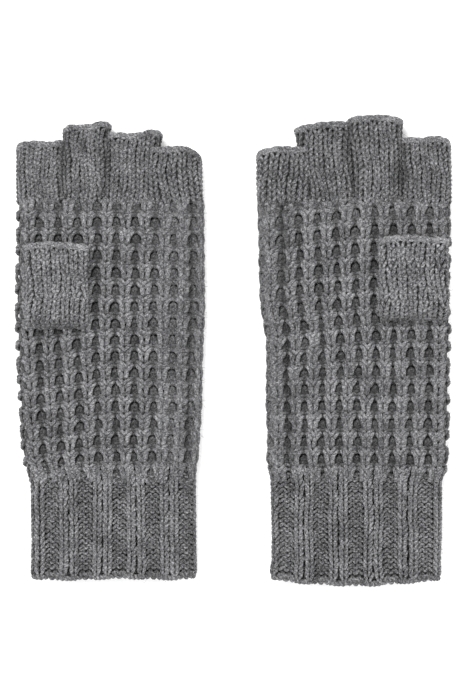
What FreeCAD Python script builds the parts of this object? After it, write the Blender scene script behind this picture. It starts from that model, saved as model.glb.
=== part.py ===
import FreeCAD, Part
import os
import sys
import Sketcher

# A pair of knitted fingerless gloves lying flat, palms up, fingertips towards +Y.
# Millimetres. Z = 0 is the surface they lie on, X runs across the pair, and the
# origin is the middle of the pair's footprint. Each glove is a flattened hollow
# tube of knitting: ribbed cuff, palm and back panels with a side seam, four short
# finger tubes, and a thumb tube folded over the palm from its own hole.

doc = FreeCAD.newDocument("fingerless_gloves")
sheet = doc.addObject("Spreadsheet::Sheet", "Dims")

DIMS = [
    # shared sections
    ("hand_thick", 13.0, "palm and back together, lying flat"),
    ("hand_wall", 3.4, "one layer of the tuck-rib fabric"),
    ("finger_thick", 12.0, "a finger tube lying flat"),
    ("finger_wall", 3.0, "one layer of plain knitting"),
    ("thumb_thick", 11.0, "the thumb tube lying flat on the palm"),
    ("thumb_wall", 2.8, "one layer of plain knitting"),
    ("cuff_thick", 13.0, "the ribbed cuff lying flat"),
    ("cuff_wall", 3.4, "one layer of the rib"),
    ("fold_gap", 0.5, "clearance across each fold line"),
    ("side_gap", 0.6, "clearance between neighbouring fingers"),
    ("rest_gap", 0.3, "the thumb's clearance over the palm"),
    # rows along Y
    ("finger_base_y", 83.0, "fold line at the roots of the fingers"),
    ("hand_mid_y", -11.4, "middle section of the hand"),
    ("wrist_y", -71.0, "fold line between hand and cuff"),
    ("bind_off", 3.6, "length of a bind-off edge"),
    ("cast_on", 4.2, "length of the cast-on edge"),
    ("edge_round", 0.8, "rounding of the free edges"),
    # webs between the fingers
    ("web_width", 5.0, "width of a web between two fingers"),
    ("web_depth", 3.6, "depth of a web"),
    # side seam
    ("seam_width", 3.0, "width of the side seam"),
    ("seam_proud", 0.6, "how far the seam stands above the palm"),
    # thumb hole and join
    ("hole_margin", 5.5, "thumb hole inside the thumb's width, each side"),
    ("hole_near", 1.6, "thumb hole's finger side, below the thumb fold"),
    ("hole_depth", 9.2, "thumb hole, wrist to fingers"),
    ("join_reach", 16.0, "wrist side of the thumb join, below the fold"),
    ("join_clear", 11.8, "finger side of the thumb join, below the fold"),
    ("join_height", 2.2, "height of the thumb join over the palm"),
    # left glove
    ("left_top_x", -67.0, "centre of the hand at the fingers"),
    ("left_top_width", 101.2, "width there"),
    ("left_mid_x", -67.5, "centre of the hand at its middle"),
    ("left_mid_width", 98.3, "width there"),
    ("left_low_x", -66.9, "centre of the hand at the wrist"),
    ("left_low_width", 91.8, "width there"),
    ("left_cuff_x", -65.1, "centre of the cuff"),
    ("left_cuff_width", 88.6, "width of the cuff"),
    ("left_cuff_end_y", -124.2, "cast-on edge"),
    ("left_seam_top_x", -24.6, "side seam at the fingers"),
    ("left_seam_low_x", -29.6, "side seam at the wrist"),
    ("left_index_x", -105.25, "centre"),
    ("left_index_width", 24.3, "width"),
    ("left_index_tip_y", 112.2, "free edge"),
    ("left_middle_x", -81.1, "centre"),
    ("left_middle_width", 22.8, "width"),
    ("left_middle_tip_y", 121.6, "free edge"),
    ("left_ring_x", -57.65, "centre"),
    ("left_ring_width", 22.9, "width"),
    ("left_ring_tip_y", 117.2, "free edge"),
    ("left_little_x", -31.3, "centre"),
    ("left_little_width", 28.6, "width"),
    ("left_little_tip_y", 109.2, "free edge"),
    ("left_thumb_x", -95.1, "centre"),
    ("left_thumb_width", 34.6, "width"),
    ("left_thumb_fold_y", 18.0, "fold line at the thumb's root"),
    ("left_thumb_tip_y", 56.8, "free edge"),
    # right glove
    ("right_top_x", 65.0, "centre of the hand at the fingers"),
    ("right_top_width", 103.6, "width there"),
    ("right_mid_x", 66.2, "centre of the hand at its middle"),
    ("right_mid_width", 98.8, "width there"),
    ("right_low_x", 66.5, "centre of the hand at the wrist"),
    ("right_low_width", 95.6, "width there"),
    ("right_cuff_x", 66.1, "centre of the cuff"),
    ("right_cuff_width", 90.7, "width of the cuff"),
    ("right_cuff_end_y", -126.0, "cast-on edge"),
    ("right_seam_top_x", 26.6, "side seam at the fingers"),
    ("right_seam_low_x", 30.6, "side seam at the wrist"),
    ("right_little_x", 26.5, "centre"),
    ("right_little_width", 27.6, "width"),
    ("right_little_tip_y", 108.2, "free edge"),
    ("right_ring_x", 51.8, "centre"),
    ("right_ring_width", 21.8, "width"),
    ("right_ring_tip_y", 122.4, "free edge"),
    ("right_middle_x", 77.05, "centre"),
    ("right_middle_width", 27.6, "width"),
    ("right_middle_tip_y", 126.0, "free edge"),
    ("right_index_x", 104.525, "centre"),
    ("right_index_width", 26.15, "width"),
    ("right_index_tip_y", 114.2, "free edge"),
    ("right_thumb_x", 96.6, "centre"),
    ("right_thumb_width", 38.8, "width"),
    ("right_thumb_fold_y", 22.0, "fold line at the thumb's root"),
    ("right_thumb_tip_y", 60.2, "free edge"),
]
VALUE = {}
for row, (alias, value, words) in enumerate(DIMS, start=1):
    sheet.set("A%d" % row, words)
    sheet.set("B%d" % row, repr(value))
    sheet.setAlias("B%d" % row, alias)
    VALUE[alias] = value
doc.recompute()

PARTS = []  # the sub-parts, each written to parts/LABEL.step


def number(expression):
    """The value of a sheet expression, for placing geometry near where it ends up."""
    return add_up(expression.replace("Dims.", ""))


def add_up(text):
    """Adds up a plain sum of names and numbers, each with an optional * or / number."""
    total, sign, term = 0.0, 1.0, ""
    for ch in text.replace(" ", "") + "+":
        if ch in "+-" and term:
            total += sign * one_term(term)
            sign, term = (1.0 if ch == "+" else -1.0), ""
        elif ch in "+-":
            sign *= 1.0 if ch == "+" else -1.0
        else:
            term += ch
    return total


def one_term(term):
    for op in "*/":
        if op in term:
            a, b = term.split(op)
            return one_term(a) * one_term(b) if op == "*" else one_term(a) / one_term(b)
    return VALUE[term] if term in VALUE else float(term)


def plane(body, role):
    return [f for f in body.Origin.OriginFeatures if f.Role == role][0]


def sketch_on(body, role, name, offset):
    sk = body.newObject("Sketcher::SketchObject", name)
    sk.AttachmentSupport = [(plane(body, role), "")]
    sk.MapMode = "FlatFace"
    sk.setExpression("AttachmentOffset.Base.z", offset)
    return sk


def stadium(sk, tag, x, z, width, thick):
    """A flattened tube's outline: two straight sides and two round ends, centred on x, z."""
    cx, cz, w, t = (number(e) for e in (x, z, width, thick))
    r, h = t / 2, (w - t) / 2
    vec = FreeCAD.Vector
    arc = lambda ax, a0, a1: Part.ArcOfCircle(Part.Circle(vec(ax, cz, 0), vec(0, 0, 1), r), a0, a1)
    pi = 3.141592653589793
    right = sk.addGeometry(arc(cx + h, -pi / 2, pi / 2), False)
    left = sk.addGeometry(arc(cx - h, pi / 2, 3 * pi / 2), False)
    top = sk.addGeometry(Part.LineSegment(vec(cx + h, cz + r, 0), vec(cx - h, cz + r, 0)), False)
    low = sk.addGeometry(Part.LineSegment(vec(cx - h, cz - r, 0), vec(cx + h, cz - r, 0)), False)
    c = Sketcher.Constraint
    sk.addConstraint(c("Tangent", right, 2, top, 1))
    sk.addConstraint(c("Tangent", top, 2, left, 1))
    sk.addConstraint(c("Tangent", left, 2, low, 1))
    sk.addConstraint(c("Tangent", low, 2, right, 1))
    sk.addConstraint(c("Horizontal", top))
    sk.addConstraint(c("Equal", right, left))
    for key, made, expression in (
        ("radius", c("Radius", left, r), "(%s) / 2" % thick),
        ("span", c("DistanceX", left, 3, right, 3, 2 * h), "(%s) - (%s)" % (width, thick)),
        ("from_x", c("DistanceX", -1, 1, left, 3, cx - h), "(%s) - ((%s) - (%s)) / 2" % (x, width, thick)),
        ("from_z", c("DistanceY", -1, 1, left, 3, cz), z),
    ):
        at = sk.addConstraint(made)
        sk.renameConstraint(at, tag + "_" + key)
        sk.setExpression("Constraints." + tag + "_" + key, expression)


def polygon(sk, tag, corners):
    """A closed outline whose corners are all given as expressions."""
    vec = FreeCAD.Vector
    at = [(number(a), number(b)) for a, b in corners]
    n = len(at)
    lines = [
        sk.addGeometry(Part.LineSegment(vec(*at[i], 0), vec(*at[(i + 1) % n], 0)), False)
        for i in range(n)
    ]
    c = Sketcher.Constraint
    for i in range(n):
        sk.addConstraint(c("Coincident", lines[i], 2, lines[(i + 1) % n], 1))
    for i, (a, b) in enumerate(corners):
        for axis, kind, e, v in (("a", "DistanceX", a, at[i][0]), ("b", "DistanceY", b, at[i][1])):
            k = sk.addConstraint(c(kind, -1, 1, lines[i], 1, v))
            name = "%s_%s%d" % (tag, axis, i)
            sk.renameConstraint(k, name)
            sk.setExpression("Constraints." + name, e)


def new_body(label, keep=True):
    body = doc.addObject("PartDesign::Body", label)
    body.Label = label
    if keep:
        PARTS.append(body)
    return body


def tube(label, x, low_y, high_y, z, width, thick, wall, rounded=None):
    """A flattened hollow tube along Y. rounded names the end whose outer edge is eased."""
    body = new_body(label)
    sk = sketch_on(body, "XZ_Plane", label + "_section", "-(%s)" % high_y)
    stadium(sk, "outer", x, z, width, thick)
    stadium(sk, "inner", x, z, width + " - 2 * " + wall, thick + " - 2 * " + wall)
    pad = body.newObject("PartDesign::Pad", label + "_pad")
    pad.Profile = sk
    pad.setExpression("Length", "(%s) - (%s)" % (high_y, low_y))
    doc.recompute()
    if rounded:
        y = number(high_y if rounded == "high" else low_y)
        names = [
            "Edge%d" % (i + 1)
            for i, e in enumerate(pad.Shape.Edges)
            if all(abs(v.Y - y) < 1e-4 for v in e.Vertexes)
        ]
        fillet = body.newObject("PartDesign::Fillet", label + "_edge")
        fillet.Base = (pad, names)
        fillet.setExpression("Radius", "Dims.edge_round")
        doc.recompute()
    return body


def block(name, x, y, z, length, width, height):
    b = doc.addObject("Part::Box", name)
    b.setExpression("Placement.Base.x", x)
    b.setExpression("Placement.Base.y", y)
    b.setExpression("Placement.Base.z", z)
    b.setExpression("Length", length)
    b.setExpression("Width", width)
    b.setExpression("Height", height)
    return b


def slab(label, corners, z, height, keep):
    """A flat piece cut to an outline in plan."""
    body = new_body(label, keep)
    sk = sketch_on(body, "XY_Plane", label + "_outline", z)
    polygon(sk, "corner", corners)
    pad = body.newObject("PartDesign::Pad", label + "_pad")
    pad.Profile = sk
    pad.setExpression("Length", height)
    return body


def hand(side, out):
    """The hollow hand of one glove: palm and back panels, side seam, webs and thumb join.
    out is +1 where the little finger is on the +X side, and -1 where it is on the -X side."""
    d = "Dims." + side + "_"
    half = "Dims.hand_thick / 2"
    stations = [
        ("Dims.finger_base_y - Dims.fold_gap / 2", d + "top_x", d + "top_width"),
        ("Dims.hand_mid_y", d + "mid_x", d + "mid_width"),
        ("Dims.wrist_y + Dims.fold_gap / 2", d + "low_x", d + "low_width"),
    ]
    shell = new_body(side + "_hand_shell", keep=False)
    for kind, feature, less in (
        ("outer", "PartDesign::AdditiveLoft", ""),
        ("inner", "PartDesign::SubtractiveLoft", " - 2 * Dims.hand_wall"),
    ):
        made = []
        for i, (y, x, w) in enumerate(stations):
            sk = sketch_on(shell, "XZ_Plane", "%s_%s_%d" % (side, kind, i), "-(%s)" % y)
            stadium(sk, kind, x, half, w + less, "Dims.hand_thick" + less)
            made.append(sk)
        doc.recompute()
        loft = shell.newObject(feature, side + "_" + kind + "_loft")
        loft.Profile = made[0]
        loft.Sections = made[1:]
        loft.Ruled = True
        doc.recompute()

    # The seam runs down the palm face a little inside the little-finger edge.
    sign = "+" if out > 0 else "-"
    anti = "-" if out > 0 else "+"
    top_y, low_y = "Dims.finger_base_y + 5", "Dims.wrist_y - 5"
    far = d + "mid_x " + anti + " 70"

    def seam_x(where, step):
        return "%sseam_%s_x %s Dims.seam_width / 2" % (d, where, step)

    # The windows that cut out the panels run 5 mm past both ends of the hand.
    window = slab(
        side + "_palm_window",
        [
            (far, low_y),
            (seam_x("low", anti), low_y),
            (seam_x("top", anti), top_y),
            (far, top_y),
        ],
        half,
        "20",
        keep=False,
    )
    doc.recompute()
    palm_blank = doc.addObject("Part::Common", side + "_palm_blank")
    palm_blank.Base, palm_blank.Tool = shell, window
    hole = block(
        side + "_thumb_hole",
        d + "thumb_x - " + d + "thumb_width / 2 + Dims.hole_margin",
        d + "thumb_fold_y - Dims.hole_near - Dims.hole_depth",
        half,
        d + "thumb_width - 2 * Dims.hole_margin",
        "Dims.hole_depth",
        "20",
    )
    palm = doc.addObject("Part::Cut", side + "_palm_panel")
    palm.Base, palm.Tool = palm_blank, hole
    palm.Label = side + "_palm_panel"
    PARTS.append(palm)

    window2 = slab(
        side + "_back_window",
        [
            (far, low_y),
            (seam_x("low", sign), low_y),
            (seam_x("top", sign), top_y),
            (far, top_y),
        ],
        half,
        "20",
        keep=False,
    )
    doc.recompute()
    back = doc.addObject("Part::Cut", side + "_back_panel")
    back.Base, back.Tool = shell, window2
    back.Label = side + "_back_panel"
    PARTS.append(back)

    # The seam itself lies in the slot between the two panels. Its ends follow the slot.
    strip = slab(
        side + "_seam_slot",
        [
            (seam_x("low", anti), low_y),
            (seam_x("low", sign), low_y),
            (seam_x("top", sign), top_y),
            (seam_x("top", anti), top_y),
        ],
        "Dims.hand_thick - Dims.hand_wall",
        "Dims.hand_wall + Dims.seam_proud",
        keep=False,
    )
    span = block(
        side + "_seam_span",
        d + "mid_x - 80",
        "Dims.wrist_y + Dims.fold_gap / 2",
        "0",
        "160",
        "Dims.finger_base_y - Dims.wrist_y - Dims.fold_gap",
        "40",
    )
    seam = doc.addObject("Part::Common", side + "_side_seam")
    seam.Base, seam.Tool = strip, span
    seam.Label = side + "_side_seam"
    PARTS.append(seam)

    # Webs: the few stitches that close the fabric between one finger and the next.
    order = ["index", "middle", "ring", "little"]
    webs = []
    for a, b in zip(order, order[1:]):
        # halfway between the two facing sides
        edge_a = "%s%s_x %s %s%s_width / 2" % (d, a, sign, d, a)
        edge_b = "%s%s_x %s %s%s_width / 2" % (d, b, anti, d, b)
        webs.append(
            block(
                "%s_web_%s_%s" % (side, a, b),
                "((%s) + (%s)) / 2 - Dims.web_width / 2" % (edge_a, edge_b),
                "Dims.finger_base_y - Dims.fold_gap / 2 - Dims.web_depth",
                "Dims.hand_wall",
                "Dims.web_width",
                "Dims.web_depth",
                "Dims.hand_thick - 2 * Dims.hand_wall",
            )
        )
    group = doc.addObject("Part::Compound", side + "_finger_webs")
    group.Links = webs
    group.Label = side + "_finger_webs"
    PARTS.append(group)

    # Thumb join: the ridge of picked-up stitches on the wrist side of the thumb hole.
    body = new_body(side + "_thumb_join")
    sk = sketch_on(body, "YZ_Plane", side + "_thumb_join_section", d + "thumb_x")
    fold = d + "thumb_fold_y"
    polygon(
        sk,
        "ridge",
        [
            (fold + " - Dims.join_reach", "Dims.hand_thick"),
            (fold + " - Dims.join_clear", "Dims.hand_thick"),
            (fold + " - Dims.join_clear", "Dims.hand_thick + Dims.join_height"),
            (fold + " - Dims.join_clear - 1", "Dims.hand_thick + Dims.join_height"),
        ],
    )
    pad = body.newObject("PartDesign::Pad", side + "_thumb_join_pad")
    pad.Profile = sk
    pad.SideType = "Symmetric"
    pad.setExpression("Length", d + "thumb_width - 2 * Dims.hole_margin + 3")
    doc.recompute()


for side, out in (("left", 1), ("right", -1)):
    d = "Dims." + side + "_"

    # Ribbed cuff and its cast-on edge.
    tube(
        side + "_cuff",
        d + "cuff_x",
        d + "cuff_end_y + Dims.cast_on",
        "Dims.wrist_y - Dims.fold_gap / 2",
        "Dims.cuff_thick / 2",
        d + "cuff_width",
        "Dims.cuff_thick",
        "Dims.cuff_wall",
    )
    tube(
        side + "_cast_on_edge",
        d + "cuff_x",
        d + "cuff_end_y",
        d + "cuff_end_y + Dims.cast_on",
        "Dims.cuff_thick / 2",
        d + "cuff_width",
        "Dims.cuff_thick",
        "Dims.cuff_wall",
        rounded="low",
    )

    hand(side, out)

    # Four finger tubes, each with its bind-off edge.
    for finger in ("index", "middle", "ring", "little"):
        f = d + finger + "_"
        tube(
            "%s_%s_tube" % (side, finger),
            f + "x",
            "Dims.finger_base_y + Dims.fold_gap / 2",
            f + "tip_y - Dims.bind_off",
            "Dims.finger_thick / 2",
            f + "width",
            "Dims.finger_thick",
            "Dims.finger_wall",
        )
        tube(
            "%s_%s_bind_off" % (side, finger),
            f + "x",
            f + "tip_y - Dims.bind_off",
            f + "tip_y",
            "Dims.finger_thick / 2",
            f + "width",
            "Dims.finger_thick",
            "Dims.finger_wall",
            rounded="high",
        )

    # Thumb tube, folded over the palm, and its bind-off edge.
    z = "Dims.hand_thick + Dims.rest_gap + Dims.thumb_thick / 2"
    tube(
        side + "_thumb_tube",
        d + "thumb_x",
        d + "thumb_fold_y",
        d + "thumb_tip_y - Dims.bind_off",
        z,
        d + "thumb_width",
        "Dims.thumb_thick",
        "Dims.thumb_wall",
    )
    tube(
        side + "_thumb_bind_off",
        d + "thumb_x",
        d + "thumb_tip_y - Dims.bind_off",
        d + "thumb_tip_y",
        z,
        d + "thumb_width",
        "Dims.thumb_thick",
        "Dims.thumb_wall",
        rounded="high",
    )

doc.recompute()

# Every object has to be sound before anything is written.
for ob in doc.Objects:
    if "Invalid" in ob.State or "Error" in ob.State:
        sys.exit("object %s failed: %s" % (ob.Label, ob.State))
for ob in PARTS:
    if ob.Shape.isNull() or not ob.Shape.isValid() or not ob.Shape.Solids:
        sys.exit("sub-part %s has no valid shape" % ob.Label)

# A flattened tube's volume is its section times its length, less the eased edges.
for ob in PARTS:
    box = ob.Shape.BoundBox
    print(
        "%-24s %8.1f mm3  x %7.2f %7.2f  y %7.2f %7.2f  z %5.2f %5.2f  solids %d"
        % (
            ob.Label,
            ob.Shape.Volume,
            box.XMin,
            box.XMax,
            box.YMin,
            box.YMax,
            box.ZMin,
            box.ZMax,
            len(ob.Shape.Solids),
        )
    )

os.makedirs("parts", exist_ok=True)
for ob in PARTS:
    ob.Shape.exportStep("parts/%s.step" % ob.Label)
print("wrote", len(PARTS), "sub-parts")
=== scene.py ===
import math

import bpy
import numpy as np
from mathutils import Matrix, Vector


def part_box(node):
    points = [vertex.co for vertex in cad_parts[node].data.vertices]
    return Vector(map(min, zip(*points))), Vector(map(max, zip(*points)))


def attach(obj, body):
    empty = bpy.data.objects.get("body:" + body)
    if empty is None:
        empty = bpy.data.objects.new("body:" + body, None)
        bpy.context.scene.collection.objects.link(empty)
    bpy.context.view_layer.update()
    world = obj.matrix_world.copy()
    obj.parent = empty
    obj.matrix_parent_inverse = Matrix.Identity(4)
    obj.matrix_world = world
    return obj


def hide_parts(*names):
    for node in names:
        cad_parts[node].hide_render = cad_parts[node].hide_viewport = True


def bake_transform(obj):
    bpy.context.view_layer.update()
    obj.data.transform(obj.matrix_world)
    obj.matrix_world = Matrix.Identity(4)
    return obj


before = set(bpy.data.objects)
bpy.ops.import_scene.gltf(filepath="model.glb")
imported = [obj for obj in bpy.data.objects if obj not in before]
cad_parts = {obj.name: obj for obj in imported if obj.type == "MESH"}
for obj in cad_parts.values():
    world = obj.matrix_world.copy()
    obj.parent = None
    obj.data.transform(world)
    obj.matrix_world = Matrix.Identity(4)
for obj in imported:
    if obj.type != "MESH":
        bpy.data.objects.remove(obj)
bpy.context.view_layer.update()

# Lengths are in millimetres until a mesh is made. Surfaces are described by
# u (round the flattened tube, 0 to 1, from the middle of the palm face towards +X),
# y (along the glove) and w (out of the fabric).

TAU = 2 * math.pi


# ---------------------------------------------------------------- surfaces
class Tube:
    """A flattened tube of fabric, given by its middle surface at stations along y."""

    def __init__(self, stations, mid_z, seed, crown=0.0, wobble=0.25, tip=None):
        a = np.array(stations, float)
        a = a[np.argsort(a[:, 0])]
        self.y, self.cx, self.width, self.thick = a.T
        self.mid_z, self.crown, self.wobble, self.tip = mid_z, crown, wobble, tip
        r = np.random.default_rng(seed)
        self.k = r.uniform(0.02, 0.16, (7, 3)) * r.choice([-1, 1], (7, 3))
        self.ph = r.uniform(0, TAU, 7)
        self.dir = r.normal(0, 1, (7, 3)) * np.array([0.7, 0.7, 1.0])
        self.dir /= np.linalg.norm(self.dir, axis=1)[:, None]

    def size(self, y):
        return (
            np.interp(y, self.y, self.cx),
            np.interp(y, self.y, self.width),
            np.interp(y, self.y, self.thick),
        )

    def perimeter(self, y):
        _, w, t = self.size(y)
        return 2 * (w - t) + math.pi * t

    def outline(self, u, y):
        """x, z offset from the middle, and the outward direction, at u and y."""
        cx, width, t = self.size(y)
        r, h = t / 2, (width - t) / 2
        s = (u % 1.0) * (4 * h + TAU * r)
        arc = math.pi * r
        a1 = (s - h) / r
        a2 = (s - (3 * h + arc)) / r
        zone = [s < h, s < h + arc, s < 3 * h + arc, s < 3 * h + 2 * arc]
        one = np.ones_like(s)
        x = np.select(
            zone,
            [s, h + r * np.sin(a1), h - (s - h - arc), -h - r * np.sin(a2)],
            s - (4 * h + 2 * arc),
        )
        z = np.select(zone, [r * one, r * np.cos(a1), -r * one, -r * np.cos(a2)], r * one)
        nx = np.select(zone, [0 * one, np.sin(a1), 0 * one, -np.sin(a2)], 0 * one)
        nz = np.select(zone, [one, np.cos(a1), -one, -np.cos(a2)], one)
        return cx, x, z, nx, nz, h + r

    def at(self, u, y, w):
        cx, x, z, nx, nz, half = self.outline(u, y)
        bulge = 1 + self.crown * (1 - (x / half) ** 2)
        yy = y if self.tip is None else self.tip(x / half, y)
        p = np.stack([cx + x + w * nx, yy, self.mid_z + z * bulge + w * nz], -1)
        n = np.stack([nx, 0 * nx, nz], -1)
        return self.stir(p), n

    def stir(self, p):
        """The slow unevenness of hand-laid knitting."""
        wave = np.sin(p @ self.k.T + self.ph) @ self.dir
        return p + self.wobble * 0.55 * wave * np.array([1, 1, 0.6])

    def u_of_x(self, x, y):
        """The u of a point on the palm face."""
        cx, _, _ = self.size(y)
        return ((x - cx) / self.perimeter(y)) % 1.0


class Thumb(Tube):
    """The thumb's tube. Above its fold it lies flat; below, its rings turn down into the palm."""

    def __init__(self, *args, fold, palm_z, reach, **kw):
        super().__init__(*args, **kw)
        self.fold, self.palm_z, self.reach = fold, palm_z, reach

    def at(self, u, y, w):
        start = self.fold + 4.0
        p, n = super().at(u, np.maximum(y, start), w)
        b = np.clip((start - y) / self.reach, 0, 1) * (math.pi / 2)
        dz = p[..., 2] - self.palm_z
        s, c = np.sin(b), np.cos(b)
        q = p.copy()
        q[..., 1] = p[..., 1] - dz * s * 0.85
        q[..., 2] = self.palm_z + dz * c
        m = n.copy()
        m[..., 1] = -n[..., 2] * s
        m[..., 2] = n[..., 2] * c
        return q, m


# ---------------------------------------------------------------- yarn meshes
class Yarns:
    """Collects swept yarns into one mesh."""

    def __init__(self):
        self.co, self.quads, self.ngons, self.at, self.n = [], [], [], [], 0
        self.root = []
        self.depth = []

    def add(self, p, n, ra, rn, closed, k=8, twist=5.5, depth=0.8, phase=0.0):
        """Sweeps a slightly flattened two-ply section along p (m, 3) with surface directions n."""
        m = len(p)
        if m < 3:
            return
        if closed:
            t = np.roll(p, -1, 0) - np.roll(p, 1, 0)
            step = np.linalg.norm(np.roll(p, -1, 0) - p, axis=1)
        else:
            t = np.gradient(p, axis=0)
            step = np.linalg.norm(np.diff(p, axis=0, append=p[-1:]), axis=1)
        t /= np.linalg.norm(t, axis=1)[:, None] + 1e-9
        b = np.cross(t, n)
        b /= np.linalg.norm(b, axis=1)[:, None] + 1e-9
        nn = np.cross(b, t)
        run = np.concatenate([[0], np.cumsum(step)[:-1]])
        if closed:
            turns = max(1, round(step.sum() / twist))
            spin = run / step.sum() * turns * TAU
        else:
            spin = run / twist * TAU
        ang = np.arange(k) / k * TAU
        ca, sa = np.cos(ang)[None, :, None], np.sin(ang)[None, :, None]
        ply = np.cos(ang[None, :] + spin[:, None] + phase)
        lobe = (0.86 + 0.17 * ply**2)[:, :, None]
        ra = np.broadcast_to(np.asarray(ra, float), (m,))[:, None, None]
        rn = np.broadcast_to(np.asarray(rn, float), (m,))[:, None, None]
        v = p[:, None, :] + lobe * (ra * ca * b[:, None, :] + rn * sa * nn[:, None, :])
        # the depth each vertex carries; the wool turns it into painted shade
        depth_shade = np.broadcast_to(np.asarray(depth, float), (m,))[:, None, None] + lobe * rn * sa
        rmean = float(np.mean(ra + rn) / 2)
        extra = np.stack(
            [
                rmean * ply,
                rmean * np.sin(ang[None, :] + spin[:, None] + phase),
                np.repeat((run + phase * 37.0)[:, None], k, 1),
            ],
            -1,
        )
        base = self.n
        idx = base + np.arange(m * k).reshape(m, k)
        nxt = np.roll(idx, -1, 1)
        if closed:
            i2, n2 = np.roll(idx, -1, 0), np.roll(nxt, -1, 0)
            q = np.stack([idx, i2, n2, nxt], -1).reshape(-1, 4)
        else:
            q = np.stack([idx[:-1], idx[1:], nxt[1:], nxt[:-1]], -1).reshape(-1, 4)
            self.ngons.append((k, np.stack([idx[0], idx[-1][::-1]])))
        self.quads.append(q)
        self.co.append(v.reshape(-1, 3))
        self.at.append(extra.reshape(-1, 3))
        self.depth.append(depth_shade.reshape(-1))
        out = ca * b[:, None, :] + sa * nn[:, None, :]
        side = np.broadcast_to(sa, (m, k, 1)).reshape(-1) > 0.2
        self.root.append(np.concatenate([v, out], -1).reshape(-1, 6)[side])
        self.n += m * k

    def painted_shade_sheet(self, surf, u0, u1, y0, y1, w_out, w_in, nu, ny, closed, keep=None, fold_w=-0.9):
        """A dark, thin closed skin behind the yarns: painted shade standing in for the shadowed inside of the glove.
        """
        u = u0 + (u1 - u0) * (np.arange(nu) / (nu if closed else nu - 1))
        y = np.linspace(y0, y1, ny)
        uu, yy = np.meshgrid(u, y, indexing="ij")
        nx = np.abs(surf.outline(uu, yy)[3])
        a, _ = surf.at(uu, yy, w_out + (fold_w - w_out) * nx)
        b, _ = surf.at(uu, yy, w_in + (fold_w - 0.5 - w_in) * nx)
        ia = self.n + np.arange(nu * ny).reshape(nu, ny)
        ib = ia + nu * ny
        cells = np.ones((nu if closed else nu - 1, ny - 1), bool)
        if keep is not None:
            mid = surf.at(uu, yy, np.zeros_like(uu))[0]
            ok = keep(mid)
            nb = np.roll(ok, -1, 0) if closed else ok[1:]
            o = ok if closed else ok[:-1]
            cells &= (o & nb)[:, :-1] & (o & nb)[:, 1:]
        a2 = np.roll(ia, -1, 0) if closed else ia[1:]
        b2 = np.roll(ib, -1, 0) if closed else ib[1:]
        a1, b1 = (ia, ib) if closed else (ia[:-1], ib[:-1])
        top = np.stack([a1[:, :-1], a2[:, :-1], a2[:, 1:], a1[:, 1:]], -1)[cells]
        low = np.stack([b1[:, :-1], b1[:, 1:], b2[:, 1:], b2[:, :-1]], -1)[cells]
        quads = [top, low]
        # walls round the open sides
        edges = {}
        for q in top:
            for i in range(4):
                e = (int(q[i]), int(q[(i + 1) % 4]))
                if (e[1], e[0]) in edges:
                    del edges[(e[1], e[0])]
                else:
                    edges[e] = True
        off = nu * ny
        if edges:
            e = np.array(list(edges))
            quads.append(np.stack([e[:, 1], e[:, 0], e[:, 0] + off, e[:, 1] + off], -1))
        used = np.zeros(2 * off, bool)
        allq = np.concatenate(quads)
        used[(allq - self.n).ravel()] = True
        remap = np.cumsum(used) - 1
        co = np.concatenate([a.reshape(-1, 3), b.reshape(-1, 3)])[used]
        self.quads.append(remap[allq - self.n] + self.n)
        self.co.append(co)
        self.at.append(co * 1.0)
        # the sheet carries the darkest depth, so it is painted in full shade
        self.depth.append(np.full(len(co), -2.4))
        self.n += len(co)

    def halo(self, count, rng, length=1.5):
        """Loose fibre ends standing off the yarn, each a thin tapering hair."""
        roots = np.concatenate(self.root)
        pick = roots[rng.integers(0, len(roots), count)]
        p0, d = pick[:, :3], pick[:, 3:]
        d = d + rng.normal(0, 0.75, d.shape)
        d /= np.linalg.norm(d, axis=1)[:, None]
        curl = rng.normal(0, 1.0, d.shape)
        long = (length * rng.gamma(4.0, 0.25, count))[:, None, None]
        s = np.array([-0.1, 0.3, 0.65, 1.0])[None, :, None]
        path = p0[:, None] + long * (s * d[:, None] + 0.45 * s**2 * curl[:, None])
        path[..., 2] = np.maximum(path[..., 2], -0.5)
        a = np.cross(d, rng.normal(0, 1, d.shape))
        a /= np.linalg.norm(a, axis=1)[:, None] + 1e-9
        b = np.cross(d, a)
        r = 0.055 * np.array([1.0, 0.9, 0.7, 0.35])[None, :, None, None]
        ang = np.arange(3) / 3 * TAU
        ring = np.cos(ang)[:, None] * a[:, None, None] + np.sin(ang)[:, None] * b[:, None, None]
        v = (path[:, :, None] + r * ring).reshape(-1, 3)
        idx = np.arange(count * 12).reshape(count, 4, 3)
        nxt = np.roll(idx, -1, 2)
        q = np.stack([idx[:, :-1], nxt[:, :-1], nxt[:, 1:], idx[:, 1:]], -1).reshape(-1, 4)
        hair = Yarns()
        hair.co, hair.quads, hair.n = [v], [q], len(v)
        hair.ngons = [(3, np.concatenate([idx[:, 0, ::-1], idx[:, 3]]))]
        hair.at = [np.repeat(rng.uniform(-1, 1, (count, 3)) * [0.6, 0.6, 40], 12, 0)]
        hair.depth = [np.full(len(v), 1.0)]
        return hair

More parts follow.
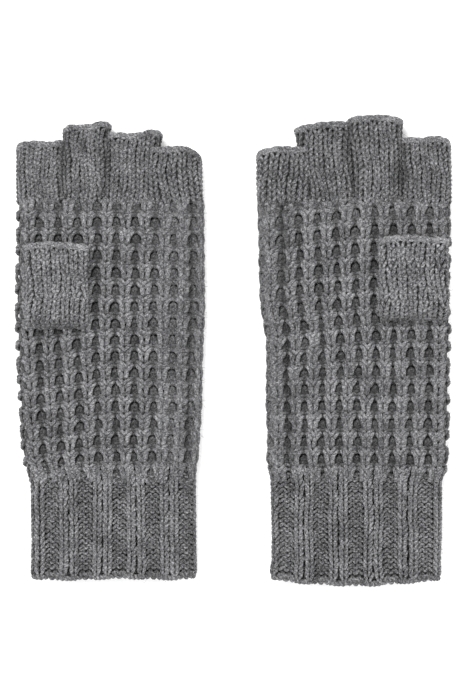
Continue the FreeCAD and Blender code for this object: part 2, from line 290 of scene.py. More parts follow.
    def build(self, name, material):
        co = np.concatenate(self.co) * 0.001
        quads = np.concatenate(self.quads)
        loops = [quads.ravel()]
        starts = [np.arange(len(quads)) * 4]
        at = len(quads) * 4
        for k, g in self.ngons:
            loops.append(g.ravel())
            starts.append(at + np.arange(len(g)) * k)
            at += g.size
        loops, starts = np.concatenate(loops), np.concatenate(starts)
        me = bpy.data.meshes.new(name)
        me.vertices.add(len(co))
        me.vertices.foreach_set("co", co.astype(np.float32).ravel())
        me.loops.add(len(loops))
        me.loops.foreach_set("vertex_index", loops.astype(np.int32))
        me.polygons.add(len(starts))
        me.polygons.foreach_set("loop_start", starts.astype(np.int32))
        me.polygons.foreach_set("use_smooth", np.ones(len(starts), bool))
        at = me.attributes.new("yarn", "FLOAT_VECTOR", "POINT")
        at.data.foreach_set("vector", np.concatenate(self.at).astype(np.float32).ravel())
        at = me.attributes.new("depth", "FLOAT", "POINT")
        at.data.foreach_set("value", np.concatenate(self.depth).astype(np.float32))
        me.update(calc_edges=True)
        me.materials.append(material)
        ob = bpy.data.objects.new(name, me)
        bpy.context.scene.collection.objects.link(ob)
        return ob


def runs(ok, closed):
    """Index runs where ok holds, as (indices, is the whole ring)."""
    m = len(ok)
    if ok.all():
        return [(np.arange(m), closed)]
    out, i = [], 0
    start = int(np.argmin(ok)) if closed else 0
    order = (np.arange(m) + start) % m
    o = ok[order]
    while i < m:
        if o[i]:
            j = i
            while j < m and o[j]:
                j += 1
            if j - i > 5:
                out.append((order[i:j], False))
            i = j
        else:
            i += 1
    return out


def smooth_cell(points, n, period=1.0):
    """Samples a Catmull-Rom curve through one cell's points evenly, n points, the cell repeating along x."""
    p = np.array(points, float)
    step = np.array([period, 0, 0])
    ext = np.concatenate([p[-2:] - step, p, p[:3] + step])
    fine = []
    for i in range(1, len(p) + 1):
        a, b, c, d = ext[i], ext[i + 1], ext[i + 2], ext[i + 3]
        t = np.linspace(0, 1, 24, endpoint=False)[:, None]
        fine.append(
            0.5 * (2 * b + (c - a) * t + (2 * a - 5 * b + 4 * c - d) * t**2 + (3 * b - a - 3 * c + d) * t**3)
        )
    f = np.concatenate(fine)
    g = np.concatenate([f, f[:1] + step])
    scale = np.array([9.9, 1, 1])
    ln = np.concatenate([[0], np.cumsum(np.linalg.norm(np.diff(g * scale, axis=0), axis=1))])
    want = np.linspace(0, ln[-1], n, endpoint=False)
    return np.stack([np.interp(want, ln, g[:, i]) for i in range(3)], -1)


# ---------------------------------------------------------------- stitches
def plain_loop(n, alpha=1.5, depth=0.95, tall=1.0, gather=0.13):
    """One plain stitch as seen from its smooth side: x in stitches, y in rows, w in mm."""
    t = (np.arange(n) + 0.5) / n * TAU
    x = (t + alpha * np.sin(2 * t)) / TAU
    x = x - 0.5
    x = x * (1 - gather * (1 - (2 * np.abs(x)) ** 4))
    return np.stack([x, -tall * np.cos(t), -depth * np.cos(2 * t) - 0.25 * depth * (1 + np.cos(t)) * 0.5], -1)


def wide_loop(n, rise=1.0):
    """The doubled tuck stitch: broad arms rising steeply from the middle of the column."""
    half = [
        (-0.50, 7.1, -1.7),
        (-0.42, 7.35, -1.5),
        (-0.355, 7.6, -0.7),
        (-0.31, 7.5, 0.4),
        (-0.255, 7.0, 1.4),
        (-0.18, 6.1, 1.9),
        (-0.11, 5.2, 1.7),
        (-0.055, 4.5, 0.8),
        (0.0, 4.2, -0.2),
    ]
    half = [(x, 6.1 + (y - 6.1) * rise, w) for x, y, w in half]
    full = half + [(-x, y, w) for x, y, w in half[-2:0:-1]]
    return smooth_cell(full, n)


def narrow_loop(n):
    """The plain stitch below it, and the purl bump in the valley beside it."""
    half = [
        (-0.50, 3.75, -0.5),
        (-0.42, 3.3, -0.6),
        (-0.38, 1.9, -1.4),
        (-0.29, 0.0, -2.1),
        (-0.16, -1.3, -1.3),
        (-0.11, -0.5, 0.5),
        (-0.145, 1.3, 1.4),
        (-0.18, 3.3, 1.5),
        (-0.205, 4.6, 0.7),
        (-0.165, 6.0, -0.9),
        (0.0, 6.4, -1.7),
    ]
    full = half + [(-x, y, w) for x, y, w in half[-2:0:-1]]
    return smooth_cell(full, n)


def float_strand(n, y, w):
    """A strand carried behind the columns, showing in the valley between them."""
    half = [(-0.50, y, w), (-0.38, y + 0.25, w - 0.3), (-0.22, y + 0.5, w - 1.1), (0.0, y + 0.6, w - 1.4)]
    full = half + [(-x, a, b) for x, a, b in half[-2:0:-1]]
    return smooth_cell(full, n)


def lay(cell, count, u_start, du, y_of, y_scale, w_scale, rng, shake):
    """Repeats a cell's points count times round the tube, each a little different."""
    n = len(cell)
    t = np.arange(n) / n
    bell = np.sin(np.pi * t) ** 2
    j = np.clip(rng.normal(0, 1, (count, 3)), -1.7, 1.7) * shake
    i = np.arange(count)[:, None]
    u = u_start + du * (i + cell[None, :, 0] + 0.5 + j[:, :1] * bell * 0.5)
    y = y_of + y_scale * cell[None, :, 1] + j[:, 1:2] * bell
    w = w_scale * cell[None, :, 2] + j[:, 2:] * bell * 0.6
    return u.ravel(), y.ravel(), w.ravel()


def swell(w, depth, ra, rng, count):
    """The yarn is squeezed where it passes behind its neighbours and full where it shows."""
    each = np.repeat(rng.normal(1.0, 0.09, count), len(w) // count)
    return ra * each * (0.9 + 0.16 * np.clip(w / depth, -1, 1))


# ---------------------------------------------------------------- wool
def wool(name, light, deep_at, high_at, floor=0.42):
    mat = bpy.data.materials.new(name)
    mat.use_nodes = True
    nt = mat.node_tree
    nodes, links = nt.nodes, nt.links
    bsdf = nodes["Principled BSDF"]
    bsdf.inputs["Roughness"].default_value = 0.95
    bsdf.inputs["Specular IOR Level"].default_value = 0.15
    bsdf.inputs["Sheen Weight"].default_value = 0.25
    bsdf.inputs["Sheen Roughness"].default_value = 0.5
    bsdf.inputs["Sheen Tint"].default_value = (0.8, 0.8, 0.82, 1)

    def node(kind, **kw):
        n = nodes.new(kind)
        for key, v in kw.items():
            setattr(n, key, v)
        return n

    at = node("ShaderNodeAttribute", attribute_name="yarn")
    obj = node("ShaderNodeTexCoord")

    # Fibres lie along the yarn: the third coordinate runs along it and is squeezed.
    stretch = node("ShaderNodeMapping")
    stretch.inputs["Scale"].default_value = (1.0, 1.0, 0.32)
    links.new(at.outputs["Vector"], stretch.inputs["Vector"])
    fibre = node("ShaderNodeTexNoise")
    fibre.inputs["Scale"].default_value = 2.6
    fibre.inputs["Detail"].default_value = 3.0
    fibre.inputs["Roughness"].default_value = 0.65
    links.new(stretch.outputs["Vector"], fibre.inputs["Vector"])

    # Heather: dyed and undyed fibres clump in small flecks.
    fleck = node("ShaderNodeTexNoise")
    fleck.inputs["Scale"].default_value = 1150.0
    fleck.inputs["Detail"].default_value = 2.0
    fleck.inputs["Roughness"].default_value = 0.7
    links.new(obj.outputs["Object"], fleck.inputs["Vector"])
    slow = node("ShaderNodeTexNoise")
    slow.inputs["Scale"].default_value = 0.09
    slow.inputs["Detail"].default_value = 2.0
    links.new(at.outputs["Vector"], slow.inputs["Vector"])

    def math_node(op, a, b=None, c=None):
        m = node("ShaderNodeMath", operation=op)
        for i, v in enumerate((a, b, c)):
            if v is None:
                continue
            if isinstance(v, (int, float)):
                m.inputs[i].default_value = v
            else:
                links.new(v, m.inputs[i])
        return m.outputs[0]

    mix = math_node("ADD", math_node("MULTIPLY", fibre.outputs["Fac"], 0.5), math_node("MULTIPLY", fleck.outputs["Fac"], 0.42))
    patch = node("ShaderNodeTexNoise")
    patch.inputs["Scale"].default_value = 120.0
    patch.inputs["Detail"].default_value = 1.5
    links.new(obj.outputs["Object"], patch.inputs["Vector"])
    mix = math_node("ADD", mix, math_node("MULTIPLY", slow.outputs["Fac"], 0.06))
    mix = math_node("ADD", mix, math_node("MULTIPLY", patch.outputs["Fac"], 0.14))
    mix = math_node("ADD", mix, -0.06)
    ramp = node("ShaderNodeValToRGB")
    el = ramp.color_ramp.elements
    el[0].position, el[0].color = 0.415, (0.045 * light, 0.045 * light, 0.048 * light, 1)
    el[1].position, el[1].color = 0.61, (0.62 * light, 0.62 * light, 0.635 * light, 1)
    mid = el.new(0.505)
    mid.color = (0.235 * light, 0.235 * light, 0.243 * light, 1)
    links.new(mix, ramp.inputs["Fac"])

    # Painted shade: the groove between the two plies is darkened in the colour.
    sep = node("ShaderNodeSeparateXYZ")
    links.new(at.outputs["Vector"], sep.inputs[0])
    ply = math_node("ABSOLUTE", sep.outputs["X"])
    shade = node("ShaderNodeMapRange")
    shade.inputs["From Min"].default_value = 0.0
    shade.inputs["From Max"].default_value = 0.5
    shade.inputs["To Min"].default_value = 0.62
    shade.inputs["To Max"].default_value = 1.0
    links.new(ply, shade.inputs["Value"])
    # Painted shade: yarn that lies deeper in the fabric (the depth attribute) is darkened in the colour, down to floor
    # at deep_at; at high_at it is painted a little lighter, up to 1.12.
    dep = node("ShaderNodeAttribute", attribute_name="depth")
    depth_shade = node("ShaderNodeMapRange")
    depth_shade.inputs["From Min"].default_value = deep_at
    depth_shade.inputs["From Max"].default_value = high_at
    depth_shade.inputs["To Min"].default_value = floor
    depth_shade.inputs["To Max"].default_value = 1.12
    links.new(dep.outputs["Fac"], depth_shade.inputs["Value"])
    both = math_node("MULTIPLY", shade.outputs[0], depth_shade.outputs[0])
    tint = node("ShaderNodeVectorMath", operation="SCALE")
    links.new(ramp.outputs["Color"], tint.inputs[0])
    links.new(both, tint.inputs["Scale"])
    links.new(tint.outputs[0], bsdf.inputs["Base Color"])

    bump = node("ShaderNodeBump")
    bump.inputs["Strength"].default_value = 0.8
    bump.inputs["Distance"].default_value = 0.00035
    links.new(mix, bump.inputs["Height"])
    links.new(bump.outputs["Normal"], bsdf.inputs["Normal"])
    return mat


# One yarn in four copies whose brightness (light) differs: painted light and shade, the thumb's copy painted lightest
# and the plain fingers' darkest.
WOOL = wool("heather_wool_waffle", 0.442, -1.3, 2.5, 0.36)
WOOL_PLAIN = wool("heather_wool_plain", 0.42, 0.2, 1.9, 0.37)
WOOL_THUMB = wool("heather_wool_thumb", 0.52, 0.2, 1.9, 0.35)
WOOL_RIB = wool("heather_wool_rib", 0.455, -0.5, 2.1, 0.35)


# ---------------------------------------------------------------- sections
def mm(v):
    return np.array(v) * 1000.0


def px(x, y):
    """Plan position of a point of the laid-out pair on a 0.54 mm grid whose middle is (234, 348.8)."""
    return (x - 234.0) * 0.54, (348.8 - y) * 0.54


FABRIC = 3.7  # how far the waffle stands out of its middle surface, both sides together


def hand_tube(side):
    rows = {
        "left": [
            (150, 16.5, 202.5), (196, 16.5, 203.5), (210, 15.2, 204.8), (262, 14.6, 205.6), (300, 14.6, 205),
            (340, 15.8, 203), (370, 17, 202), (400, 18.4, 202.2), (424, 19.4, 201), (448, 20.2, 199.5),
            (462, 22.6, 198), (472, 27, 195.5), (482, 30.8, 194.8), (550, 31.5, 195.3), (568, 31, 196), (590, 31, 195),
        ],
        "right": [
            (150, 257, 451), (196, 258, 451), (210, 257.8, 452.6), (256, 259, 451.6), (300, 260, 450.4),
            (322, 263.2, 451), (340, 265.8, 451), (400, 265.6, 449.6), (436, 266.6, 449), (460, 265.6, 448.8),
            (470, 269, 446.2),
            (480, 272, 441.5), (520, 272.3, 441), (562, 273.5, 440.2), (574, 272, 441.5), (595, 272, 441),
        ],
    }[side]
    out = []
    for y, x0, x1 in rows:
        a, yy = px(x0, y)
        b, _ = px(x1, y)
        cuff = min(1.0, max(0.0, (y - 462) / 20))
        fabric = FABRIC + (3.2 - FABRIC) * cuff
        out.append((yy, (a + b) / 2, b - a - fabric, 13.0 - fabric - 0.3))
    return out


GLOVES = {
    "left": dict(
        out=1, row_shift=1.9, rib_x=-71.0, columns=20, repeat=9.05, rib=10, seam=(-22.6, -26.5),
        fingers={"index": (13, 2.55), "middle": (12, 2.67), "ring": (13, 2.64), "little": (12, 2.9)},
        thumb=14, thumb_pitch=3.08, column_x=-59.1,
    ),
    "right": dict(
        out=-1, row_shift=0.0, rib_x=56.5, columns=21, repeat=9.55, rib=10, seam=(26.6, 30.6),
        fingers={"index": (12, 2.56), "middle": (12, 3.1), "ring": (12, 3.15), "little": (11, 3.2)},
        thumb=15, thumb_pitch=3.4, column_x=62.0,
    ),
}


def row_yarn(yarns, surf, u, y, w, ra, rn, closed=True, ok=None, k=8, twist=5.5, phase=0.0, split=None, depth=None):
    """Lays one course on a surface, whole or in pieces, as one strand or as a split pair."""
    p, n = surf.at(u, y, w)
    if split is not None:
        t = np.roll(p, -1, 0) - np.roll(p, 1, 0)
        t /= np.linalg.norm(t, axis=1)[:, None]
        b = np.cross(t, n)
        b /= np.linalg.norm(b, axis=1)[:, None]
        strands = [p + split[:, None] * b, p - split[:, None] * b]
    else:
        strands = [p]
    ok = np.ones(len(u), bool) if ok is None else ok
    ra = np.broadcast_to(np.asarray(ra, float), u.shape)
    depth = w if depth is None else depth
    for i, q in enumerate(strands):
        for idx, whole in runs(ok, closed):
            yarns.add(q[idx], n[idx], ra[idx], rn, whole, k=k, twist=twist, phase=phase + i * 1.3, depth=depth[idx])


def make_hand(side):
    g = GLOVES[side]
    rng = np.random.default_rng(11 if side == "left" else 23)
    sag = 0.0 if side == "left" else 2.4

    def hem(x, y):
        return y - sag * np.clip((-96.0 - y) / 30.0, 0, 1) ** 1.5 * (0.75 - 1.2 * np.abs(x) ** 2)

    surf = Tube(hand_tube(side), 6.5, 3 if side == "left" else 5, crown=0.04, wobble=0.5, tip=hem)
    top, low = px(0, 201)[1], px(0, 480)[1]
    n = g["columns"]
    wide, narrow = wide_loop(24, 0.8 if side == "left" else 1.0), narrow_loop(26)
    over, under = float_strand(10, 6.15, -0.7), float_strand(10, 0.5, -0.9)
    # phase: one knit column stands at column_x half way down the hand
    u0 = surf.u_of_x(g["column_x"], -11.4) - 0.5 / n
    thumb_lo, thumb_hi = (mm(v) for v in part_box(side + "_thumb_tube"))
    fold = thumb_lo[1]
    tcx, thalf = (thumb_lo[0] + thumb_hi[0]) / 2, (thumb_hi[0] - thumb_lo[0]) / 2

    def outside_hole(p):
        """True off the thumb hole, which is the flat tube's own outline turned into the palm."""
        ex = (p[..., 0] - tcx) / (thalf - 5.0)
        ey = (p[..., 1] - (fold - 1.6)) / 2.1
        return (ex**2 + ey**2 > 1) | (p[..., 2] < 6.5)

    def slant(x, y):
        """The courses droop towards one side where the glove was laid down askew."""
        if side == "left":
            fade = np.clip((62.0 - y) / 60.0, 0, 1)
            return 0.15 * np.minimum(x + 72.0, 0) * fade * fade * (3 - 2 * fade)
        fade = np.clip((y + 30.0) / 45.0, 0, 1)
        return 0.12 * np.minimum(x - 73.0, 0) * fade * fade * (3 - 2 * fade)

    palm, back, palm_ground, back_ground = Yarns(), Yarns(), Yarns(), Yarns()
    # The panels part at the thumb-side fold and at the seam.
    seam_u = lambda y: surf.u_of_x(np.interp(y, [-71, 83], [g["seam"][1], g["seam"][0]]), y)
    edge_side = -g["out"]  # thumb side
    count = int(math.ceil((top - low) / g["repeat"])) + 2
    outer = -48.0 if side == "left" else -31.0  # where the little finger's side starts
    first = low - 1.0 + g["row_shift"]
    for r in range(-1, count + 1):
        y0 = first + r * g["repeat"]
        for cell, name in ((wide, "w"), (narrow, "n"), (over, "o"), (under, "u")):
            u, y, w = lay(cell, n, u0, 1.0 / n, y0, g["repeat"] / 9.07, 1.0, rng, 0.09 if name == "w" else 0.12)
            y = y + slant(surf.at(u, y, w)[0][:, 0], y)
            each = np.repeat(1 + 0.055 * rng.standard_normal(n), len(cell))
            # the knitting is flatter towards the fingers and on the little finger's side
            x = surf.at(u, y, w)[0][:, 0] * g["out"]
            flat = 0.45 * np.exp(-np.clip(top - y, 0, None) / 9.0) + 0.42 * np.clip((x - outer) / 13.0, 0, 1)
            turned = surf.outline(u, y)[3] ** 2
            flat = flat + 0.12 * turned
            w = w * (1 - np.clip(flat, 0, 0.6))
            if name != "w":
                w = w + 0.9 * np.clip(flat, 0, 0.6)
            arm = 1 - (np.abs(np.tile(cell[:, 0], n)) / 0.5) ** 2
            if name == "w":
                split, ra, rn = 0.9 + 0.15 * arm, 0.99 + 0.17 * arm, 1.04
            elif name == "n":
                split, ra, rn = None, 1.1 + 0.3 * arm, 1.06
            else:
                split, ra, rn = None, 1.25 + 0.0 * arm, 0.95
            p, _ = surf.at(u, y, w)
            inside = (y < top + 1.2) & (y > low - 1.5)
            ok = inside & outside_hole(p)
            uu = u % 1.0
            su = seam_u(y)
            # palm face: from the seam to the thumb-side fold
            fold_u = np.where(np.ones_like(u, bool), 0.25 if edge_side > 0 else 0.75, 0)
            if g["out"] > 0:
                is_palm = (uu > fold_u) | (uu < su)
            else:
                is_palm = (uu < fold_u) | (uu > su)
            ra = ra * each * (1 + 0.25 * flat)
            ph = rng.uniform(0, TAU)
            # each column's seam groove
            gap = np.abs((uu - su + 0.5) % 1.0 - 0.5) * surf.perimeter(y)
            w = w - 3.0 * np.exp(-((gap / 1.35) ** 2)) - 0.4 * np.exp(-((gap / 5.0) ** 2))
            k = 7 if name in "wn" else 6
            # what lies in the valleys is in the shade of the columns
            shade = {"w": 0.5, "n": 1.0, "o": 1.0, "u": 1.0}[name] * (1 - arm) * (1 - 0.8 * np.clip(flat + 0.5 * turned, 0, 1))
            opts = dict(phase=ph, split=split, k=k, depth=w - shade)
            row_yarn(palm if name == "w" else palm_ground, surf, u, y, w, ra, rn, ok=ok & is_palm, **opts)
            row_yarn(back if name == "w" else back_ground, surf, u, y, w, ra, rn, ok=ok & ~is_palm, **opts)
    # inner faces: dark sheets behind the yarns, in painted shade
    s_mid = float(seam_u(np.array([0.0]))[0])
    if g["out"] > 0:
        a, b = 0.75 - 1.0, s_mid
    else:
        a, b = s_mid - 1.0, 0.25
    palm_ground.painted_shade_sheet(surf, a, b, low - 0.5, top + 0.5, -2.3, -2.8, 90, 120, False, outside_hole, fold_w=-0.1)
    back_ground.painted_shade_sheet(surf, b, a + 1.0, low - 0.5, top + 0.5, -2.3, -2.8, 110, 120, False, fold_w=-0.1)
    for yarns, name, node in (
        (palm, "_palm_tuck_courses", "_palm_panel"), (palm_ground, "_palm_plain_courses", "_palm_panel"),
        (back, "_back_tuck_courses", "_back_panel"), (back_ground, "_back_plain_courses", "_back_panel"),
    ):
        ob = yarns.build(side + name, WOOL)
        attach(ob, side + "_hand")
        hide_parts(side + node)

    for name, y, slot in (("_palm_halo", palm, "waffle_knit"), ("_back_halo", back, "waffle_knit")):
        ho = y.halo(6500, rng).build(side + name, WOOL)
        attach(ho, side + "_hand")

    # seam: a thin yarn laced to and fro across the groove
    seam = Yarns()
    ys = np.arange(low, top, 0.55)
    zig = np.sin(ys / g["repeat"] * TAU * 2)
    sx = seam_u(ys) + zig * 0.5 / surf.perimeter(ys)
    p, nrm = surf.at(sx, ys, np.full_like(ys, -1.9) + 0.3 * np.cos(ys / g["repeat"] * TAU * 4))
    seam.add(p, nrm, 0.6, 0.6, False, depth=-1.6)
    so = seam.build(side + "_seam_stitches", WOOL)
    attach(so, side + "_hand")
    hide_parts(side + "_side_seam")
    return surf


def make_cuff(side, surf):
    g = GLOVES[side]
    rng = np.random.default_rng(31 if side == "left" else 37)
    lo, hi = (mm(v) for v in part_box(side + "_cuff"))
    edge_lo = mm(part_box(side + "_cast_on_edge")[0])[1]
    top, low = px(0, 478)[1], edge_lo + 2.6
    reps, stitches = g["rib"], g["rib"] * 4
    rows = int(round((top - low) / 2.72))
    pitch = (top - low) / rows
    cell = plain_loop(18, alpha=1.5, depth=1.3, tall=1.15, gather=0.04)
    u0 = surf.u_of_x(g["rib_x"], -95.0)
    upper, lower = Yarns(), Yarns()

    def rib(u):
        """+1 on the knit ribs and -1 in the purl valleys."""
        c = np.cos((u - u0) * reps * TAU) + 0.22
        return np.tanh(2.2 * c) / math.tanh(2.2)

    knit = np.where(np.cos(((np.arange(stitches) + 0.5) / stitches) * reps * TAU) > 0, 1.0, -1.0)
    for r in range(rows + 2):
        y0 = low + (r + 0.5) * pitch
        u, y, w = lay(cell, stitches, u0, 1.0 / stitches, y0, pitch, 1.0, rng, 0.14)
        u = u + 0.28 * np.sin((u - u0) * reps * TAU) / (reps * TAU)
        purl = np.repeat(knit, len(cell)) < 0
        w = np.where(purl, -w, w)
        y = np.where(purl, y0 + (y - y0) * 1.15, y)
        turn = np.abs(surf.outline(u, y)[3])
        w = w * (1 - 0.4 * turn)
        raised = 1.25 * rib(u)
        ra = swell(w, 1.25, np.where(purl, 0.7, 0.84), rng, stitches)
        # the depth passed on sets the painted shade: purl valleys darker, ribs lighter
        row_yarn(lower if r < rows // 2 else upper, surf, u, y, w + raised, ra, 0.8, k=7, twist=4.5, phase=rng.uniform(0, TAU), depth=w + 0.5 * raised)
    # a dark sheet in painted shade behind the rib
    upper.painted_shade_sheet(surf, 0, 1, low - 1, top + 2, -2.0, -2.5, 180, 40, True)
    for yarns, name in ((upper, "_cuff_rib"), (lower, "_cuff_rib_lower")):
        ob = yarns.build(side + name, WOOL_RIB)
        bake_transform(ob)
        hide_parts(side + "_cuff")
        ho = yarns.halo(2250, rng, 1.3).build(side + name.replace("rib", "halo"), WOOL_RIB)
        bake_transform(ho)

    # cast-on edge: two strands roped together along the ends of the ribs
    rim = Yarns()
    m = stitches * 8
    u = np.arange(m) / m
    f = rib(u)
    turns = stitches
    for i in range(2):
        a = u * turns * TAU + i * math.pi
        y = edge_lo + 1.75 + 0.8 * np.cos(a) - 0.8 * f
        w = 0.55 * f + 0.75 * np.sin(a)
        row_yarn(rim, surf, u, y, w, 0.92, 0.85, k=8, phase=i * 2.0)
    ro = rim.build(side + "_cast_on_cord", WOOL_RIB)
    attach(ro, side + "_wrist")
    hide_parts(side + "_cast_on_edge")


def make_tube(name, node, bind_node, body, surf, n, pitch, y_low, y_tip, seed, depth=1.25, ra=1.0, rows_below=0, below_pitch=0.0, tone=None, side_shade=(0, 0)):
    tone = tone or WOOL_PLAIN
    rng = np.random.default_rng(seed)
    yarns = Yarns()
    cell = plain_loop(14, depth=depth)
    edge = y_tip - 3.0
    rows = int(round((edge - y_low) / pitch))
    real = (edge - y_low) / rows
    levels = [(y_low + (r + 0.5) * real, real) for r in range(rows)]
    levels += [(y_low - (r + 0.5) * below_pitch, below_pitch) for r in range(rows_below)]
    u0 = rng.uniform(0, 1.0 / n)
    sway = rng.uniform(0, TAU, 4)
    for y0, step in levels:
        u, y, w = lay(cell, n, u0, 1.0 / n, y0, step, 1.0, rng, 0.11)
        # columns wander and rows ride up and down
        u = u + (0.18 * np.sin(y / 9.0 + sway[0]) + 0.05 * np.sin(y / 4.1 + 3 * TAU * u + sway[1]) + rng.normal(0, 0.04)) / n
        y = y + 0.3 * np.sin(2 * TAU * u + sway[2] + y / 11.0) + 0.12 * np.sin(5 * TAU * u + sway[3] + y / 5.0)
        nx = surf.outline(u, y)[3]
        # Painted shade on the sides that lie against a neighbouring finger; negative values paint light instead, as on
        # both sides of the little finger.
        side_shade_depth = w - 1.0 * (side_shade[0] * np.clip(-nx, 0, 1) + side_shade[1] * np.clip(nx, 0, 1))
        row_yarn(yarns, surf, u, y, w, swell(w, depth, ra, rng, n), 0.84, phase=rng.uniform(0, TAU), depth=side_shade_depth)
    # a dark sheet in painted shade inside the tube
    yarns.painted_shade_sheet(surf, 0, 1, y_low, y_tip - 1.5, -0.9, -1.3, 72, 24, True)
    ob = yarns.build(name + "_knit", tone)
    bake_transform(ob)
    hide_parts(node)

    ho = yarns.halo(1500 if "thumb" in name else 1100, rng, 1.2).build(name + "_halo", tone)
    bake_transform(ho)

    # bind-off: a chain lying along the edge
    rim = Yarns()
    rim_shade = 0.45 if "thumb" in name else -0.1
    m = n * 14
    t = (np.arange(m) + 0.5) / 14 * TAU
    i = np.arange(m) / m
    # links advance round the edge and swing across it
    for sgn in (1, -1):
        u = u0 + i
        a = i * n * TAU
        y = y_tip - 1.95 + sgn * (0.7 + 0.45 * np.cos(a)) + 0.3 * np.sin(3 * TAU * i + seed) + 0.2 * np.sin(8 * TAU * i + 2 * seed)
        w = 0.45 + 0.65 * np.cos(a + (0 if sgn > 0 else math.pi))
        lean = sgn * 0.3 * np.sin(a) / n + 0.15 * np.sin(5 * TAU * i + seed) / n
        row_yarn(rim, surf, u + lean, y, w, 1.1 + 0.2 * np.cos(a + 0.6), 0.95, k=8, twist=4.0, phase=1, depth=1.5 * w - rim_shade)
    ro = rim.build(name + "_bind_off_chain", tone)
    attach(ro, body)
    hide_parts(bind_node)
    return ob


TIPS = {
    "left": dict(
        index=([-1, -0.85, 0.3, 1], [-3.0, -0.8, -0.3, 0.6]),
        middle=([-1, -0.8, 0, 0.7, 0.9, 1], [-2.6, -0.9, -0.4, 1.0, 0.6, -0.8]),
        ring=([-1, -0.2, 0.75, 0.95, 1], [-0.6, -1.4, 0.6, 0.2, -1.0]),
        little=([-1, -0.85, 0, 0.5, 0.8, 1], [-2.4, -0.6, 0.0, -0.4, -2.4, -6.0]),
    ),
    "right": dict(
        index=([-1, -0.8, 0, 0.6, 0.9, 1], [-0.8, 0.0, -0.6, 0.4, -0.6, -2.4]),
        middle=([-1, -0.85, 0, 0.8, 1], [-1.6, -0.2, 0.0, -0.3, -2.0]),
        ring=([-1, -0.8, 0, 0.8, 1], [-3.6, -1.4, -0.6, 0.5, 0.4]),
        little=([-1, -0.9, -0.6, 0.3, 1], [-3.4, -0.8, 0.2, 1.0, 0.8]),
    ),
}
# Left and right outline of each finger on the 0.54 mm grid, at the tip, half way and the base.
FINGER_EDGES = {
    "left": dict(
        index=((16, 62.5), (16, 62.5), (16.5, 64)),
        middle=((63, 110), (61.5, 107), (61.5, 105)),
        ring=((107.5, 161), (104.5, 157), (103, 150)),
        little=((149, 201), (147, 201.4), (147.5, 201.6)),
    ),
    "right": dict(
        index=((401, 450), (401.5, 451.5), (401.5, 451)),
        middle=((349, 402.5), (352.5, 402), (354.5, 402)),
        ring=((296, 350), (302.5, 353), (307, 355)),
        little=((256.6, 307), (257.6, 309), (258.6, 309)),
    ),
}
LIFT = {
    "left": dict(index=0.0, middle=-0.2, ring=0.3, little=1.9),
    "right": dict(index=0.2, middle=1.2, ring=0.3, little=1.9),
}


def make_fingers(side, hand_surf):
    g = GLOVES[side]
    base = px(0, 203)[1]
    for i, (f, (n, pitch)) in enumerate(g["fingers"].items()):
        lo, hi = (mm(v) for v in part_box("%s_%s_tube" % (side, f)))
        tip = mm(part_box("%s_%s_bind_off" % (side, f))[1])[1]
        cx, width = (lo[0] + hi[0]) / 2, hi[0] - lo[0]
        shape = TIPS[side][f]

        def tip_line(x, y, shape=shape, tip=tip, base=base):
            share = np.clip((y - base) / (tip - base), 0, 1.2) ** 1.5
            return y + share * np.interp(x, *shape)

        levels = (tip, (tip + base) / 2 - 2, base - 4)
        stations = []
        for (e0, e1), yy in zip(FINGER_EDGES[side][f], levels):
            x0, x1 = px(e0, 0)[0], px(e1, 0)[0]
            stations.append((yy, (x0 + x1) / 2, x1 - x0 - 2.0, 8.1))
        surf = Tube(
            stations,
            6.0 + LIFT[side][f], 40 + i + (10 if side == "right" else 0), crown=0.2, wobble=0.45, tip=tip_line,
        )
        make_tube(
            "%s_%s" % (side, f), "%s_%s_tube" % (side, f), "%s_%s_bind_off" % (side, f),
            "%s_%s" % (side, f), surf, n, pitch, base, tip,
            60 + i + (10 if side == "right" else 0),
            # painted shade on the sides beside a neighbour, painted light on the little finger
            side_shade=((0, 0.9, 0.8, -0.3)[i], (0.9, 0.7, 0.8, -0.9)[i])[:: g["out"]], ra=0.94,
        )


def make_thumb(side):
    g = GLOVES[side]
    lo, hi = (mm(v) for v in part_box(side + "_thumb_tube"))
    tip = mm(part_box(side + "_thumb_bind_off")[1])[1]
    fold, cx, width = lo[1], (lo[0] + hi[0]) / 2, hi[0] - lo[0]

    def tip_line(x, y):
        share = np.clip((y - fold) / (tip - fold), 0, 1.2)
        return y - share * 1.8 * np.abs(x) ** 5

    surf = Thumb(
        [(fold - 30, cx, width - 3.4, 7.6), (tip, cx, width - 3.6, 7.6)],
        18.8, 80 if side == "left" else 81, crown=0.05, wobble=0.3, tip=tip_line,
        fold=fold, palm_z=12.2, reach=15.0,
    )

    rng_seed = 90 if side == "left" else 91
    below_rows, below_pitch = 4, 3.0

    make_tube(
        side + "_thumb", side + "_thumb_tube", side + "_thumb_bind_off", side + "_thumb",
        surf, g["thumb"], g["thumb_pitch"], fold, tip,
        rng_seed,
        rows_below=below_rows, below_pitch=below_pitch, tone=WOOL_THUMB,
    )
    # join: the ring of picked-up stitches round the hole
    ring = Yarns()
    m = 200
    u = np.arange(m) / m
    y = np.full(m, fold - 11.0)
    p, n = surf.at(u, y, 1.5 + 0.5 * np.sin(u * g["thumb"] * TAU))
    p[:, 2] = 12.7 + 0.5 * np.sin(u * g["thumb"] * TAU + 1.0)
    n = np.tile([0.0, 0.0, 1.0], (m, 1))
    ring.add(p, n, 1.1, 1.0, True)
    ob = ring.build(side + "_thumb_join_stitches", WOOL)
    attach(ob, side + "_hand")
    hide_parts(side + "_thumb_join")


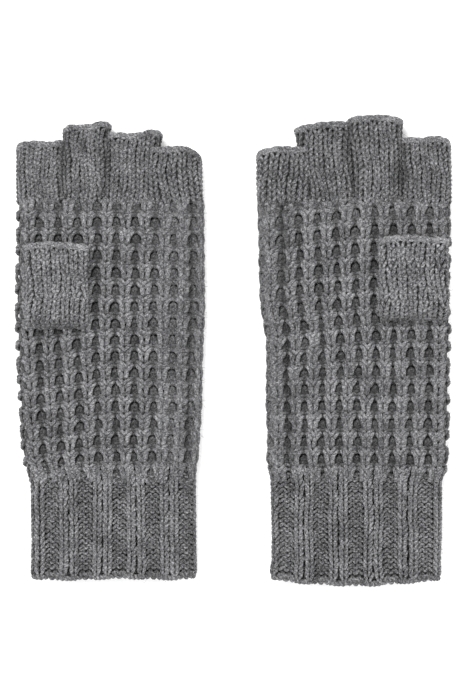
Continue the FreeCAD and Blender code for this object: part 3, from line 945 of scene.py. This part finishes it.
def make_webs(side):
    """The stitches between two fingers: a short laced strand at each crotch."""
    webs = Yarns()
    order = ["index", "middle", "ring", "little"]
    for a, b in zip(order, order[1:]):
        ba, bb = (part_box("%s_%s_tube" % (side, f)) for f in (a, b))
        x = (max(min(ba[0][0], ba[1][0]), min(bb[0][0], bb[1][0])) * 1000.0) - 0.3
        t = np.linspace(0, 1, 40)
        p = np.stack([x + 0.9 * np.sin(t * 3 * TAU), 81.0 + 1.3 * np.sin(t * math.pi), 2.4 + 8.4 * t], -1)
        webs.add(p, np.tile([1.0, 0.0, 0.0], (40, 1)), 0.9, 0.9, False)
    ob = webs.build(side + "_finger_web_stitches", WOOL)
    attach(ob, side + "_hand")
    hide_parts(side + "_finger_webs")


for side in ("left", "right"):
    hand_surf = make_hand(side)
    make_cuff(side, hand_surf)
    make_fingers(side, hand_surf)
    make_thumb(side)
    make_webs(side)

# ---------------------------------------------------------------- stage
bpy.ops.mesh.primitive_plane_add(size=6, location=(0, 0, -0.0023))
floor = bpy.context.object
floor.name = "floor"
fm = bpy.data.materials.new("floor_white")
fm.use_nodes = True
fb = fm.node_tree.nodes["Principled BSDF"]
fb.inputs["Base Color"].default_value = (0.96, 0.96, 0.96, 1)
fb.inputs["Roughness"].default_value = 0.9
fb.inputs["Specular IOR Level"].default_value = 0.1
floor.data.materials.append(fm)

world = bpy.data.worlds.new("studio")
bpy.context.scene.world = world
world.use_nodes = True
world.node_tree.nodes["Background"].inputs["Color"].default_value = (1, 1, 1, 1)
world.node_tree.nodes["Background"].inputs["Strength"].default_value = 1.35


def area(name, loc, target, size, power):
    l = bpy.data.lights.new(name, "AREA")
    l.shape, l.size, l.energy = "DISK", size, power
    o = bpy.data.objects.new(name, l)
    bpy.context.scene.collection.objects.link(o)
    o.location = loc
    from mathutils import Vector

    o.rotation_mode = "QUATERNION"
    o.rotation_quaternion = (Vector(target) - Vector(loc)).to_track_quat("-Z", "Y")
    return o


area("key", (-0.5, 0.9, 1.5), (0, 0, 0), 0.9, 30)
area("fill", (0.9, -0.4, 1.4), (0, 0, 0), 1.2, 8)

cam_data = bpy.data.cameras.new("camera")
cam = bpy.data.objects.new("camera", cam_data)
bpy.context.scene.collection.objects.link(cam)
bpy.context.scene.camera = cam
cam_data.sensor_fit = "AUTO"
cam_data.sensor_width = 36.0
cam_data.lens = 120.0
cx, cy = px(233.5, 350.0)
cam.location = (cx / 1000, cy / 1000, 0.378 * 120.0 / 36.0 + 0.012)
cam.rotation_euler = (0, 0, 0)
cam_data.clip_start, cam_data.clip_end = 0.05, 20

bpy.context.scene.view_settings.view_transform = "Standard"
bpy.context.scene.view_settings.look = "None"
